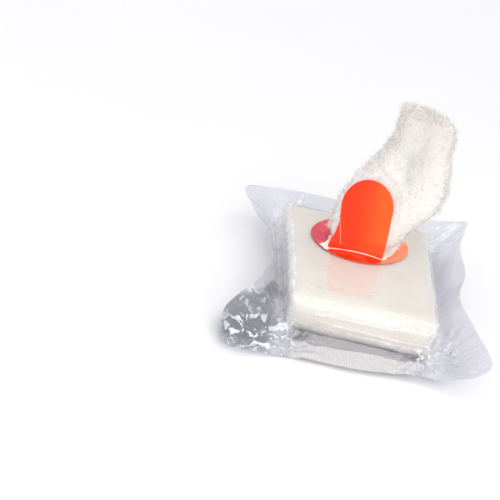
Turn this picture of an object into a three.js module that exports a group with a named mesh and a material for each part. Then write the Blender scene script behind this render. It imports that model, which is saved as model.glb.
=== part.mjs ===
// Rolled gauze in its opened clear pouch: a block of gauze folded to and fro between two webs of film,
// a round label on top whose tongue is torn up, and the strip's free end pulled out through the opening.
// Millimetres, +X to the right, +Y to the back, +Z up. The origin lies on the flat underside of the pouch,
// below the middle of the block.

import * as THREE from "three";

// Gauze block
const BLOCK_WIDTH = 57; // the strip, folded once lengthwise
const BLOCK_DEPTH = 84;
const PLY = 1.4; // thickness of one drawn ply of compressed gauze
const PLY_GAP = 0.35;
const PLY_COUNT = 9;
const BLOCK_SLIP = 9.6; // how far the back edge has slipped to the left of the front edge
const BLOCK_TAPER = 3.4; // the front edge is this much under the width, the back edge as much over it
const SOFT_END = 2; // length over which each end of the plies is pinched

// Film pouch
const FILM = 0.7;
const CLEARANCE = 0.3; // between any two pieces that touch
const FLANGE = 24; // film past the sides of the block
const FILM_CORNER = 3; // radius in plan where the film turns round the block
const FILM_BEND = 2.65; // radius at which a web turns round the block's upper or lower edges
const ROOT_REACH = 3.2; // where the two webs meet, out from the block
const TOP_FLARE = 2.3; // height over which the upper web turns out to the flange
const BASE_FLARE = 2;

// Label, its tongue and the opening
const LABEL_RADIUS = 19.8;
const LABEL_THICKNESS = 0.5;
const LABEL_SEAT = 2.8; // ring of label that is stuck to the film outside the round hole
const LABEL_LEFT = 1.7; // label centre, left of the middle of the block
const LABEL_BACK = 14.1; // label centre, behind the middle of the block
const LABEL_TURN = -5; // degrees about the vertical
const HINGE_MARGIN = 6.6; // label in front of the tongue's fold
const TIP_MARGIN = 2.8; // label behind the tongue's round tip
const TAB_WIDTH = 22;
const TAB_BEND = 2.5; // radius of the fold
const TAB_LEAN = 12; // degrees back from upright

// Free end of the strip
const TAIL_HEIGHT = 55; // above the label, to the middle of its cut end
const TAIL_WIDTH = 38;
const TAIL_DEPTH = 15;
const TAIL_WALL = 1.8;
const NECK_CLEARANCE = 0.75; // to each side of the tongue-shaped hole

// Heights, from the floor up
const BLOCK_HEIGHT = PLY_COUNT * PLY + (PLY_COUNT - 1) * PLY_GAP;
const BLOCK_BOTTOM = FILM + CLEARANCE;
const BLOCK_TOP = BLOCK_BOTTOM + BLOCK_HEIGHT;
const WEB_TOP = BLOCK_TOP + CLEARANCE + FILM;
const LABEL_BOTTOM = WEB_TOP + CLEARANCE;
const LABEL_TOP = LABEL_BOTTOM + LABEL_THICKNESS;

// How far the folds reach, bottom to top, as shares of half the block's depth
const FOLDS = [
  { reach: 0.974 },
  { reach: 0.992 },
  { reach: 1.0 },
  { reach: 0.99 },
  { reach: 0.996 },
  { reach: 1.0 },
  { reach: 0.986 },
  { reach: 0.972 },
];
const CUT_END_REACH = 0.96;

// Sections across the block, from its left end to its right: the ends are drawn in and squashed
const BLOCK_SECTIONS = [
  { across: -1, draw: 0.948, squash: 0.8 },
  { across: -1, inset: SOFT_END, draw: 1, squash: 1 },
  { across: 1, inset: -SOFT_END, draw: 1, squash: 1 },
  { across: 1, draw: 0.948, squash: 0.8 },
];

// Rim of the pouch, a row for each wave. The place counts sides of the block anticlockwise from its front
// left corner: 0 to 1 front, 1 to 2 right, 2 to 3 back, 3 to 4 left. Right and back are how far the rim lies
// from the block there, and lift its height, as shares of the flange. Root is the height where the two webs
// meet, as a share of the block's height.
const RIM = [
  { at: 0.02, right: -0.99, back: -0.7, lift: 0.15, root: 0.22 },
  { at: 0.06, right: -0.95, back: -0.92, lift: 0.1, root: 0.21 },
  { at: 0.14, right: -0.76, back: -0.98, lift: 0.07, root: 0.2 },
  { at: 0.22, right: -0.52, back: -0.79, lift: 0.06, root: 0.2 },
  { at: 0.3, right: -0.29, back: -0.75, lift: 0.06, root: 0.2 },
  { at: 0.5, right: 0.0, back: -0.76, lift: 0.08, root: 0.2 },
  { at: 0.7, right: 0.22, back: -0.64, lift: 0.09, root: 0.2 },
  { at: 0.78, right: 0.39, back: -0.61, lift: 0.11, root: 0.2 },
  { at: 0.86, right: 0.62, back: -0.66, lift: 0.17, root: 0.21 },
  { at: 0.94, right: 0.71, back: -0.72, lift: 0.31, root: 0.24 },
  { at: 1.0, right: 0.91, back: -0.7, lift: 0.52, root: 0.27 },
  { at: 1.1, right: 0.7, back: -0.2, lift: 0.56, root: 0.3 },
  { at: 1.22, right: 0.58, back: -0.13, lift: 0.57, root: 0.32 },
  { at: 1.36, right: 0.4, back: -0.07, lift: 0.66, root: 0.34 },
  { at: 1.48, right: 0.53, back: 0.08, lift: 0.82, root: 0.34 },
  { at: 1.6, right: 0.43, back: 0.06, lift: 0.93, root: 0.34 },
  { at: 1.8, right: 0.5, back: 0.16, lift: 1.0, root: 0.38 },
  { at: 2.0, right: 0.71, back: 0.66, lift: 0.73, root: 0.45 },
  { at: 2.14, right: 0.32, back: 0.75, lift: 0.57, root: 0.5 },
  { at: 2.45, right: -0.02, back: 0.82, lift: 0.51, root: 0.52 },
  { at: 2.8, right: -0.3, back: 0.8, lift: 0.56, root: 0.5 },
  { at: 3.0, right: -0.86, back: 0.66, lift: 0.5, root: 0.45 },
  { at: 3.1, right: -0.62, back: 0.14, lift: 0.52, root: 0.43 },
  { at: 3.22, right: -0.44, back: -0.02, lift: 0.56, root: 0.42 },
  { at: 3.38, right: -0.33, back: 0.0, lift: 0.65, root: 0.4 },
  { at: 3.58, right: -0.28, back: 0.0, lift: 0.71, root: 0.37 },
  { at: 3.72, right: -0.28, back: 0.0, lift: 0.68, root: 0.34 },
  { at: 3.78, right: -0.38, back: -0.02, lift: 0.56, root: 0.31 },
  { at: 3.86, right: -0.67, back: -0.08, lift: 0.43, root: 0.28 },
  { at: 3.94, right: -0.95, back: -0.17, lift: 0.28, root: 0.24 },
];
const FLANGE_SHARES = [0, 0.12, 0.4, 0.7, 1]; // rings of the flange, from its root to the rim
const SIDES = 4;
const CORNER_SHARE = 0.06; // part of a side's count that each half corner takes
const CORNER_POINTS = 4;
const STRAIGHT_POINTS = 10;
const FOLD_FACETS = { outer: 6, inner: 2 }; // of the round loop at each fold of the strip

// Sections of the free end above its neck. Rise is a share of its height, shift and width of its width and
// depth of its depth; slope tips the section down to the right.
const TAIL = [
  { rise: 0.06, shift: 0.044, width: 0.79, depth: 0.84, slope: 0 },
  { rise: 0.16, shift: 0.075, width: 0.83, depth: 1.0, slope: -0.05 },
  { rise: 0.32, shift: 0.2, width: 1.0, depth: 1.0, slope: 0 },
  { rise: 0.48, shift: 0.286, width: 0.96, depth: 0.92, slope: 0 },
  { rise: 0.63, shift: 0.353, width: 0.74, depth: 0.96, slope: 0.02 },
  { rise: 0.78, shift: 0.409, width: 0.58, depth: 0.84, slope: 0.06 },
  { rise: 0.9, shift: 0.41, width: 0.6, depth: 0.72, slope: 0.14 },
  { rise: 1.0, shift: 0.41, width: 0.6, depth: 0.62, slope: 0.22 },
];
const NECK_DEPTH = 0.6; // share of the tail's depth

// The band's middle line across one section, from the end of its left flap round the front to the end of its
// right flap: places are shares of half the width and half the depth, and back is positive
const TAIL_FOLDS = [
  { across: -0.16, back: 0.02 },
  { across: -0.5, back: 0.46 },
  { across: -0.84, back: 0.78 },
  { across: -1.0, back: 0.1 },
  { across: -0.84, back: -0.66 },
  { across: -0.42, back: -0.94 },
  { across: -0.02, back: -0.72 },
  { across: 0.38, back: -1.0 },
  { across: 0.84, back: -0.72 },
  { across: 1.0, back: 0.06 },
  { across: 0.8, back: 0.76 },
  { across: 0.42, back: 0.62 },
  { across: 0.08, back: 0.2 },
];
const TAIL_SPANS = 28; // facets along the middle line

const radians = THREE.MathUtils.degToRad;
const point = (x, y, z) => new THREE.Vector3(x, y, z);

// Triangles that fill a loop, laid out on the plane that it faces most and running the way the loop does
function capTriangles(loop) {
  const normal = point(0, 0, 0);
  loop.forEach((p, i) => normal.add(p.clone().cross(loop[(i + 1) % loop.length])));
  const size = normal.toArray().map(Math.abs);
  const kept = [0, 1, 2].filter((axis) => axis !== size.indexOf(Math.max(...size)));
  const flat = loop.map((p) => new THREE.Vector2(p.getComponent(kept[0]), p.getComponent(kept[1])));
  const triangles = THREE.ShapeUtils.triangulateShape(flat, []);
  const first = triangles[0].map((i) => flat[i]);
  const agrees = THREE.ShapeUtils.area(first) * THREE.ShapeUtils.area(flat) > 0;
  return agrees ? triangles : triangles.map((t) => [...t].reverse());
}

// A closed solid through equal loops of points: its ends are capped, or its last loop joins its first.
// Each four-sided facet is split along its shorter diagonal, so facing sheets are split alike.
function loft(loops, joined) {
  const count = loops[0].length;
  const points = loops.flat();
  const triangles = [];
  const spans = joined ? loops.length : loops.length - 1;
  for (let i = 0; i < spans; i += 1) {
    const here = i * count;
    const next = ((i + 1) % loops.length) * count;
    for (let j = 0; j < count; j += 1) {
      const k = (j + 1) % count;
      const forward = points[here + j].distanceTo(points[next + k]);
      const backward = points[here + k].distanceTo(points[next + j]);
      if (forward < backward) {
        triangles.push([here + j, here + k, next + k], [here + j, next + k, next + j]);
      } else {
        triangles.push([here + j, here + k, next + j], [here + k, next + k, next + j]);
      }
    }
  }
  if (!joined) {
    const last = spans * count;
    capTriangles(loops[0]).forEach(([a, b, c]) => triangles.push([c, b, a]));
    capTriangles(loops[spans]).forEach(([a, b, c]) => triangles.push([last + a, last + b, last + c]));
  }
  const volume = triangles.reduce(
    (sum, [a, b, c]) => sum + points[a].dot(points[b].clone().cross(points[c])),
    0,
  );
  const outward = volume > 0 ? triangles : triangles.map((t) => [...t].reverse());
  const geometry = new THREE.BufferGeometry();
  const coordinates = points.flatMap((p) => p.toArray());
  geometry.setAttribute("position", new THREE.Float32BufferAttribute(coordinates, 3));
  geometry.setIndex(outward.flat());
  geometry.computeVertexNormals();
  return geometry;
}

// Direction that a sheet given as rings faces at one of its points, up where the sheet lies flat
function facing(rings, i, j) {
  const ring = rings[i];
  const along = ring[(j + 1) % ring.length].clone().sub(ring[(j + ring.length - 1) % ring.length]);
  const outer = rings[Math.min(i + 1, rings.length - 1)][j];
  const inner = rings[Math.max(i - 1, 0)][j];
  return outer.clone().sub(inner).cross(along).normalize();
}

// The rings moved off their sheet by a distance, up where the sheet lies flat
function offset(rings, distance) {
  return rings.map((ring, i) => ring.map((p, j) => p.clone().addScaledVector(facing(rings, i, j), distance)));
}

// A film with its middle surface on the rings, which has a hole inside the first ring or is closed there
function film(rings, hasHole) {
  const under = offset(rings, -FILM / 2);
  const over = offset(rings, FILM / 2);
  return loft([...under, ...over.reverse()], hasHole);
}

// Where the slipped and tapered block has a point that is given for a square one
function slipped(x, y) {
  const share = y / BLOCK_DEPTH;
  const spread = 1 + (2 * BLOCK_TAPER * share) / BLOCK_WIDTH;
  return new THREE.Vector2(x * spread - BLOCK_SLIP * share, y);
}

// Stations round the block: a point on its outline, the way out from it and the place that RIM counts
function stations() {
  const halfWidth = BLOCK_WIDTH / 2 - FILM_CORNER;
  const halfDepth = BLOCK_DEPTH / 2 - FILM_CORNER;
  const corners = [[-1, -1], [1, -1], [1, 1], [-1, 1]].map(([x, y]) => [x * halfWidth, y * halfDepth]);
  const list = [];
  const add = (x, y, angle, at) => {
    const out = new THREE.Vector2(Math.cos(angle), Math.sin(angle));
    const base = slipped(x + out.x * FILM_CORNER, y + out.y * FILM_CORNER);
    list.push({ base, out, at: (at + SIDES) % SIDES });
  };
  for (let side = 0; side < SIDES; side += 1) {
    const [x, y] = corners[side];
    const [endX, endY] = corners[(side + 1) % SIDES];
    const start = radians(180 + 90 * side);
    for (let i = 0; i < CORNER_POINTS; i += 1) {
      const share = i / (CORNER_POINTS - 1);
      add(x, y, start + share * radians(90), side + (2 * share - 1) * CORNER_SHARE);
    }
    for (let i = 1; i <= STRAIGHT_POINTS; i += 1) {
      const share = i / (STRAIGHT_POINTS + 1);
      const at = side + CORNER_SHARE + share * (1 - 2 * CORNER_SHARE);
      add(x + (endX - x) * share, y + (endY - y) * share, start + radians(90), at);
    }
  }
  return list;
}
const STATIONS = stations();

// A column of RIM at a place round the block, on a smooth closed curve through the rows
function rimValue(column, at) {
  const count = RIM.length;
  const row = (i) => RIM[(i + count) % count];
  const place = (i) => row(i).at + SIDES * Math.floor(i / count);
  const slope = (i) => (row(i + 1)[column] - row(i - 1)[column]) / (place(i + 1) - place(i - 1));
  const i = RIM.findLastIndex((r) => r.at <= at);
  const span = place(i + 1) - place(i);
  const t = (at - place(i)) / span;
  const rise = row(i + 1)[column] - row(i)[column];
  const bend = t * t * (3 - 2 * t) * rise;
  return row(i)[column] + bend + t * (1 - t) * span * ((1 - t) * slope(i) - t * slope(i + 1));
}

const rootHeight = (at) => BLOCK_BOTTOM + rimValue("root", at) * BLOCK_HEIGHT;

// A ring round the block: out is the distance from the block's sides, height a number or a function
function blockRing(out, height) {
  return STATIONS.map(({ base, out: way, at }) => {
    const z = typeof height === "function" ? height(at) : height;
    return point(base.x + way.x * out, base.y + way.y * out, z);
  });
}

// The surface between the two webs, from where they meet to the rim of the pouch
function flangeRings() {
  const roots = blockRing(ROOT_REACH, rootHeight);
  const rim = STATIONS.map(({ base, at }) => {
    const [right, back, lift] = ["right", "back", "lift"].map((column) => rimValue(column, at) * FLANGE);
    return point(base.x + right, base.y + back, lift);
  });
  return FLANGE_SHARES.map((share) => roots.map((p, j) => p.clone().lerp(rim[j], share)));
}
const FLANGE_RINGS = flangeRings();
const WEB_SPACING = FILM + CLEARANCE; // between the middle surfaces of the two webs
const WEB_SIDE = CLEARANCE + FILM / 2; // from the block's side to the middle surface of a web beside it

// Points shared out between two rings
const between = (ringA, ringB, share) => ringA.map((p, j) => p.clone().lerp(ringB[j], share));

// A level circle about a point, which has the ring's points drawn in to it
function circleInside(ring, x, y, radius) {
  return ring.map((p) => {
    const way = new THREE.Vector2(p.x - x, p.y - y).setLength(radius);
    return point(x + way.x, y + way.y, p.z);
  });
}

// Rings on which a web turns from level to upright round the block's edge, up or down
function bendRings(level, way) {
  return [0, 30, 60].map(radians).map((angle) => {
    const out = WEB_SIDE - FILM_BEND * (1 - Math.sin(angle));
    return blockRing(out, level + way * FILM_BEND * (1 - Math.cos(angle)));
  });
}

// Rings on which a web turns out from the block's side to the flange, from above it or from below it
function flareRings(flare, way) {
  return [{ out: 0, rise: 1 }, { out: 0.4, rise: 0.6 }].map(({ out, rise }) =>
    blockRing(WEB_SIDE + out * (ROOT_REACH - WEB_SIDE), (at) => rootHeight(at) + way * rise * flare),
  );
}

// Outline of the folded strip seen from its end, as [y, z]: one face of the strip, then back along the other
function stripOutline() {
  const half = BLOCK_DEPTH / 2;
  const outer = PLY + PLY_GAP / 2;
  const inner = PLY_GAP / 2;
  const pitch = PLY + PLY_GAP;
  const arc = (fold, radius, steps) => {
    const way = fold % 2 === 0 ? -1 : 1;
    const middleY = way * (half * FOLDS[fold % FOLDS.length].reach - outer);
    const middleZ = BLOCK_BOTTOM + fold * pitch + outer;
    return Array.from({ length: steps + 1 }, (_, i) => {
      const angle = radians(-90 + (180 * i) / steps);
      return [middleY + way * radius * Math.cos(angle), middleZ + radius * Math.sin(angle)];
    });
  };
  const faces = [[], []];
  for (let fold = 0; fold < PLY_COUNT - 1; fold += 1) {
    faces[fold % 2].push(...arc(fold, outer, FOLD_FACETS.outer));
    faces[(fold + 1) % 2].push(...arc(fold, inner, FOLD_FACETS.inner));
  }
  const cut = half * CUT_END_REACH;
  const topWay = PLY_COUNT % 2 === 0 ? 1 : -1;
  const start = [[cut, BLOCK_BOTTOM + PLY], [cut, BLOCK_BOTTOM]];
  const top = [[topWay * cut, BLOCK_TOP], [topWay * cut, BLOCK_TOP - PLY]];
  const end = PLY_COUNT % 2 === 0 ? top.reverse() : top;
  return [...start, ...faces[0], ...end.reverse(), ...faces[1].reverse()];
}

function gauzeStack() {
  const outline = stripOutline();
  const middle = (BLOCK_BOTTOM + BLOCK_TOP) / 2;
  const loops = BLOCK_SECTIONS.map(({ across, inset = 0, draw, squash }) =>
    outline.map(([y, z]) => {
      const plan = slipped((across * BLOCK_WIDTH) / 2 + inset, y * draw);
      return point(plan.x, plan.y, middle + (z - middle) * squash);
    }),
  );
  return loft(loops, false);
}

function topFilm() {
  const level = WEB_TOP - FILM / 2;
  const bend = bendRings(level, -1);
  const hole = circleInside(bend[0], -LABEL_LEFT, LABEL_BACK, LABEL_RADIUS - LABEL_SEAT);
  return film(
    [
      hole,
      between(hole, bend[0], 0.15),
      between(hole, bend[0], 0.55),
      ...bend,
      blockRing(WEB_SIDE, level - FILM_BEND),
      ...flareRings(TOP_FLARE, 1),
      ...offset(FLANGE_RINGS, WEB_SPACING / 2),
    ],
    true,
  );
}

function baseFilm() {
  const bend = bendRings(FILM / 2, 1);
  const middle = circleInside(bend[0], 0, 0, BLOCK_WIDTH / 4);
  const flare = flareRings(BASE_FLARE, -1);
  return film([middle, ...bend, ...flare, ...offset(FLANGE_RINGS, -WEB_SPACING / 2)], false);
}

// Places of the tongue in the label's own plane: its fold in front, its round tip behind
const HINGE_Y = HINGE_MARGIN - LABEL_RADIUS;
const TIP_Y = LABEL_RADIUS - TIP_MARGIN;
const TIP_ANGLES = [0, 20, 38, 54, 68, 79, 86].map(radians); // sections round the tongue's tip
const TONGUE_TURN = radians(90 - TAB_LEAN);
const FOLD_LENGTH = TAB_BEND * TONGUE_TURN;

function openingLabel() {
  const disc = new THREE.Shape().absarc(0, 0, LABEL_RADIUS, 0, 2 * Math.PI, false);
  const half = TAB_WIDTH / 2;
  const hole = new THREE.Path().moveTo(-half, HINGE_Y).lineTo(half, HINGE_Y);
  hole.lineTo(half, TIP_Y - half).absarc(0, TIP_Y - half, half, 0, Math.PI, false);
  hole.lineTo(-half, HINGE_Y);
  disc.holes.push(hole);
  const geometry = new THREE.ExtrudeGeometry(disc, {
    depth: LABEL_THICKNESS,
    bevelEnabled: false,
    curveSegments: 20,
  });
  return geometry.translate(0, 0, LABEL_BOTTOM);
}

// Middle line of the torn-up tongue: place and way up at a length from its fold
function tonguePath(length) {
  const angle = Math.min(length / TAB_BEND, TONGUE_TURN);
  const straight = Math.max(length - FOLD_LENGTH, 0);
  return {
    y: HINGE_Y + CLEARANCE + TAB_BEND * Math.sin(angle) + straight * Math.cos(TONGUE_TURN),
    z: (LABEL_BOTTOM + LABEL_TOP) / 2 + TAB_BEND * (1 - Math.cos(angle)) + straight * Math.sin(TONGUE_TURN),
    angle,
  };
}

// Back of the tongue at a height, and of the plane that it lies in above its tip
function tongueBack(z) {
  const foldEnd = tonguePath(FOLD_LENGTH);
  const thickness = LABEL_THICKNESS / 2 / Math.sin(TONGUE_TURN);
  return foldEnd.y + Math.max(z - foldEnd.z, 0) / Math.tan(TONGUE_TURN) + thickness;
}

function pullTab() {
  const length = TIP_Y - HINGE_Y - CLEARANCE;
  const half = TAB_WIDTH / 2 - CLEARANCE;
  const lengths = [0, 1 / 3, 2 / 3, 1].map((share) => share * FOLD_LENGTH);
  lengths.push((FOLD_LENGTH + length - half) / 2);
  lengths.push(...TIP_ANGLES.map((a) => length - half + half * Math.sin(a)));
  const loops = lengths.map((l) => {
    const past = Math.max(l - (length - half), 0);
    const reach = Math.sqrt(half * half - past * past);
    const { y, z, angle } = tonguePath(l);
    const thick = LABEL_THICKNESS / 2;
    const front = [-1, -0.5, 0, 0.5, 1].map((share) =>
      point(share * reach, y + thick * Math.sin(angle), z - thick * Math.cos(angle)),
    );
    const back = [1, 0.5, 0, -0.5, -1].map((share) =>
      point(share * reach, y - thick * Math.sin(angle), z + thick * Math.cos(angle)),
    );
    return [...front, ...back];
  });
  return loft(loops, false);
}

// One section of the free end, which stands just behind the tongue: the band's two faces lie on either side
// of its middle line
function tailSection({ z, x, width, depth, slope }) {
  const wall = TAIL_WALL / 2;
  const middleY = tongueBack(z) + CLEARANCE + depth / 2;
  const line = new THREE.CatmullRomCurve3(
    TAIL_FOLDS.map(({ across, back }) => point(across * (width / 2 - wall), back * (depth / 2 - wall), 0)),
  );
  const faces = [[], []];
  for (let i = 0; i <= TAIL_SPANS; i += 1) {
    const middle = line.getPointAt(i / TAIL_SPANS);
    const along = line.getTangentAt(i / TAIL_SPANS);
    for (const side of [-1, 1]) {
      const across = middle.x + side * wall * along.y;
      const back = middle.y - side * wall * along.x;
      faces[(side + 1) / 2].push(point(x + across, middleY + back, z - slope * across));
    }
  }
  return [...faces[0], ...faces[1].reverse()];
}

function gauzeTail() {
  const foot = LABEL_TOP + CLEARANCE;
  const neck = { x: 0, width: TAB_WIDTH - 2 * NECK_CLEARANCE, depth: NECK_DEPTH * TAIL_DEPTH, slope: 0 };
  const sections = [
    { ...neck, z: BLOCK_TOP + CLEARANCE },
    { ...neck, z: foot },
    ...TAIL.map(({ rise, shift, width, depth, slope }) => ({
      z: foot + rise * TAIL_HEIGHT,
      x: shift * TAIL_WIDTH,
      width: width * TAIL_WIDTH,
      depth: depth * TAIL_DEPTH,
      slope,
    })),
  ];
  return loft(sections.map(tailSection), false);
}

function piece(name, geometry, color, roughness, opacity = 1) {
  const material = new THREE.MeshStandardMaterial({
    color,
    roughness,
    metalness: 0,
    opacity,
    transparent: opacity < 1,
  });
  const mesh = new THREE.Mesh(geometry, material);
  mesh.name = name;
  return mesh;
}

const group = new THREE.Group();
group.add(piece("gauze_stack", gauzeStack(), "#f3ebdd", 0.95));
group.add(piece("pouch_base_film", baseFilm(), "#e9e9f1", 0.15, 0.3));
group.add(piece("pouch_top_film", topFilm(), "#e9e9f1", 0.15, 0.3));

const opening = new THREE.Group();
opening.position.set(-LABEL_LEFT, LABEL_BACK, 0);
opening.rotation.z = radians(LABEL_TURN);
opening.add(piece("opening_label", openingLabel(), "#ee6a52", 0.35, 0.9));
opening.add(piece("pull_tab", pullTab(), "#ff4a22", 0.3));
opening.add(piece("gauze_tail", gauzeTail(), "#f5f1ea", 0.95));
group.add(opening);

export default group;
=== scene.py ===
"""Rolled gauze in its opened clear pouch: a compressed block of folded gauze between two webs of film, a
round label whose tongue is torn up, and the strip's free end pulled out of the opening. Metres, +Z up."""
import math
import random

import bmesh
import bpy
from bpy.props import FloatProperty, FloatVectorProperty, IntProperty, PointerProperty
from bpy.types import Operator, Panel, PropertyGroup
from mathutils import Matrix, Vector, noise


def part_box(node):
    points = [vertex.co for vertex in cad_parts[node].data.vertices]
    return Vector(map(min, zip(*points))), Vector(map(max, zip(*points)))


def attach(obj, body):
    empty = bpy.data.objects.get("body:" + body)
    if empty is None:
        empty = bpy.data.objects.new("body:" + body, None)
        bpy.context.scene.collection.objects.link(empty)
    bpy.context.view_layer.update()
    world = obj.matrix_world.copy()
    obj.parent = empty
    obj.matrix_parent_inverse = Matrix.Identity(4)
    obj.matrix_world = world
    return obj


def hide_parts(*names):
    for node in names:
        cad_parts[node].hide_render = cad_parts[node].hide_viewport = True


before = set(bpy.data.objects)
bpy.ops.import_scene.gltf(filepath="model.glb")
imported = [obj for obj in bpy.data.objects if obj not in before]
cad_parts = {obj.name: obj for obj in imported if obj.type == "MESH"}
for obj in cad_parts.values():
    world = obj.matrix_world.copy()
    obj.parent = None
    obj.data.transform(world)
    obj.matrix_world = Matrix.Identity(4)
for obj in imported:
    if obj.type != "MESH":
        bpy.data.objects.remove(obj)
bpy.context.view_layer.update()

bl_info = {
    "name": "Rolled gauze in an opened pouch",
    "version": (1, 0, 0),
    "blender": (4, 5, 0),
    "location": "3D View > Sidebar > Gauze pouch",
    "description": "Builds the gauze block, its free end, the clear pouch, the label and the stage",
    "category": "Add Mesh",
}

MM = 0.001
UP = Vector((0, 0, 1))
BLACK = (0, 0, 0)
WHITE = (1, 1, 1)

# How the solids' meshes are refined: points nearer than this are merged, triangles up to this angle become
# quads, a film's outer skin ends at edges sharper than this and has at least so many faces
MERGE_DISTANCE = 0.002 * MM
QUAD_ANGLE = math.radians(70)
SKIN_ANGLE = math.radians(62)
LEAST_SKIN = 100
REFINEMENT = 3
EDGE_ANGLE = math.radians(40)

# Size of a node's place in a laid out tree
NODE_WIDTH = 250
NODE_HEIGHT = 280

# The block: its top is a little over the solid's. In plan it is narrower in front, and its back edge has
# slipped to the left.
BLOCK_LOW, BLOCK_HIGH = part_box("gauze_stack")
BLOCK_TOP = BLOCK_HIGH.z + 0.35 * MM
BLOCK_WIDTH = 57 * MM
BLOCK_DEPTH = 84 * MM
BLOCK_SLIP = 9.6 * MM
BLOCK_TAPER = 3.4 * MM
BLOCK_CUTS = 63

# The film over the block: its gap from the block's sides, how far its top lies under the label, and the flat
# facet in front, with the places along X between which it begins and ends
FILM_GAP = 1 * MM
FILM_DROP = 0.3 * MM
FACET_TILT = math.radians(35)
FACET_DEPTH = 0.6 * MM
FACET_START = (4 * MM, 9 * MM)
FACET_END = (22 * MM, 27 * MM)

# The label, and the fold and the tip of its tongue in its own plane
LABEL_LOW, LABEL_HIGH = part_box("opening_label")
LABEL_BASE = LABEL_LOW.z - 0.24 * MM
LABEL_CENTRE = (LABEL_LOW + LABEL_HIGH) / 2
LABEL_RADIUS = (LABEL_HIGH.x - LABEL_LOW.x) / 2
LABEL_TURN = math.radians(-5)
LABEL_CORNERS = 180
LABEL_EDGE_ANGLE = math.radians(35)
HOLE_STEPS = 26
LABEL_PLACE = Matrix.Translation((LABEL_CENTRE.x, LABEL_CENTRE.y, 0)) @ Matrix.Rotation(LABEL_TURN, 4, "Z")
TO_LABEL = LABEL_PLACE.inverted()
HINGE_Y = 6.6 * MM - LABEL_RADIUS
TIP_Y = LABEL_RADIUS - 2.8 * MM

# The tongue: radius and turn of its bend, and the length at which its round tip begins
TONGUE_LENGTH = TIP_Y - HINGE_Y
TONGUE_HALF = 11 * MM
TONGUE_BEND = 2.5 * MM
TONGUE_TURN = math.radians(78)
TONGUE_ROUND = TONGUE_LENGTH - TONGUE_HALF

# The free end: its top, how far the leaning tongue presses it in, and the seed of its loose fibres
TAIL_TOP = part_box("gauze_tail")[1].z
TONGUE_DENT = 0.4 * MM
FIBRE_SEED = 11


def length_setting(name, description, default):
    """A setting that holds a length."""
    return FloatProperty(name=name, description=description, default=default, unit="LENGTH")


def angle_setting(name, description, degrees):
    """A setting that holds an angle."""
    return FloatProperty(name=name, description=description, default=math.radians(degrees), subtype="ANGLE")


def colour_setting(name, description, default):
    """A setting that holds a colour."""
    return FloatVectorProperty(
        name=name, description=description, subtype="COLOR", size=3, min=0, max=1, default=default
    )


def share_setting(name, description, default):
    """A setting that holds a share from 0 to 1."""
    return FloatProperty(name=name, description=description, default=default, min=0, max=1, subtype="FACTOR")


class GauzeSettings(PropertyGroup):
    """Sizes and colours of the gauze"""

    colour: colour_setting("Colour", "Colour of the pressed cotton", (0.85, 0.81, 0.745))
    loose_colour: colour_setting("Loose colour", "Colour of the free end's loose cotton", (0.85, 0.82, 0.785))
    # Painted shade: this darker colour is mixed into the weave's hollows between threads, and also gives the
    # random darker patches
    shade_and_tone_colour: colour_setting("Fold colour", "Colour deep in folds and between plies", (0.74, 0.68, 0.60))
    fibre_colour: colour_setting("Fibre colour", "Colour of the loose fibres", (0.94, 0.92, 0.89))
    fibre_shade: colour_setting("Fibre shade", "Colour of the darkest loose fibres", (0.87, 0.84, 0.8))
    edge_radius: length_setting("Edge radius", "Radius at which the block's edges are rounded", 3.2 * MM)
    roll_radius: length_setting("Roll radius", "Radius of the block's upper front and back edges", 7.5 * MM)
    ply_height: length_setting("Ply height", "Height of one visible layer of the folded strip", 1.75 * MM)
    ply_groove: length_setting("Ply groove", "Depth of the grooves between the layers", 0.12 * MM)
    thread_pitch: length_setting("Thread pitch", "Distance between threads of the weave", 0.55 * MM)
    crumple: length_setting("Crumple", "Height of the soft folds of the free end", 1.0 * MM)
    tuft: length_setting("Tufts", "Height of the tufts along the edges", 0.8 * MM)
    nap: length_setting("Nap", "Height of the cotton's fluffy nap", 0.16 * MM)
    fibre_count: IntProperty(
        name="Fibres", description="Number of loose fibres on the free end", default=19000, min=0
    )
    fibre_length: length_setting("Fibre length", "Length of a usual loose fibre", 2.5 * MM)
    fibre_width: length_setting("Fibre width", "Width of a loose fibre at its root", 0.15 * MM)


class FilmSettings(PropertyGroup):
    """Sizes and finish of the clear pouch"""

    thickness: length_setting("Thickness", "Thickness of one web of film", 0.12 * MM)
    draw_in: length_setting("Draw in", "How far the webs are drawn together at the flange", 0.62 * MM)
    crease: length_setting("Crease", "Height of the creases over the block", 0.3 * MM)
    crumple: length_setting("Crumple", "Height of the crumples at the corners", 1.5 * MM)
    fan_slope: FloatProperty(
        name="Fan slope", description="Slope of the folds in the front pockets", default=0.18, min=0
    )
    haze: share_setting("Haze", "Share of milky film in the flanges", 0.05)
    tint: colour_setting("Tint", "Colour of light that has come through a flange", (0.935, 0.935, 0.952))
    tight_tint: colour_setting("Tight tint", "Tint of the film over the block", (0.985, 0.985, 0.985))
    # The colour of milky film, which also colours the painted highlights, white glints in the crumples
    haze_and_glint_colour: colour_setting("Milk colour", "Colour of milky film", (0.88, 0.88, 0.92))
    seal_colour: colour_setting("Seal colour", "Colour of the ribbed seal", (0.88, 0.855, 0.84))
    # Painted shade: the panel and the sliver are grey stand-ins on the lower web for the dark shade under the
    # block, seen through the film in the front left pocket and in front of the block
    panel_shade_colour: colour_setting("Panel colour", "Grey of the panel in the left pocket", (0.27, 0.285, 0.295))
    panel_shade_tint: colour_setting("Panel tint", "Tint of the panel in the left pocket", (0.58, 0.6, 0.62))
    sliver_shade_colour: colour_setting("Sliver colour", "Grey of the panel in front", (0.68, 0.665, 0.65))
    sliver_shade_tint: colour_setting("Sliver tint", "Tint of the panel in front", (0.95, 0.935, 0.92))


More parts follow.
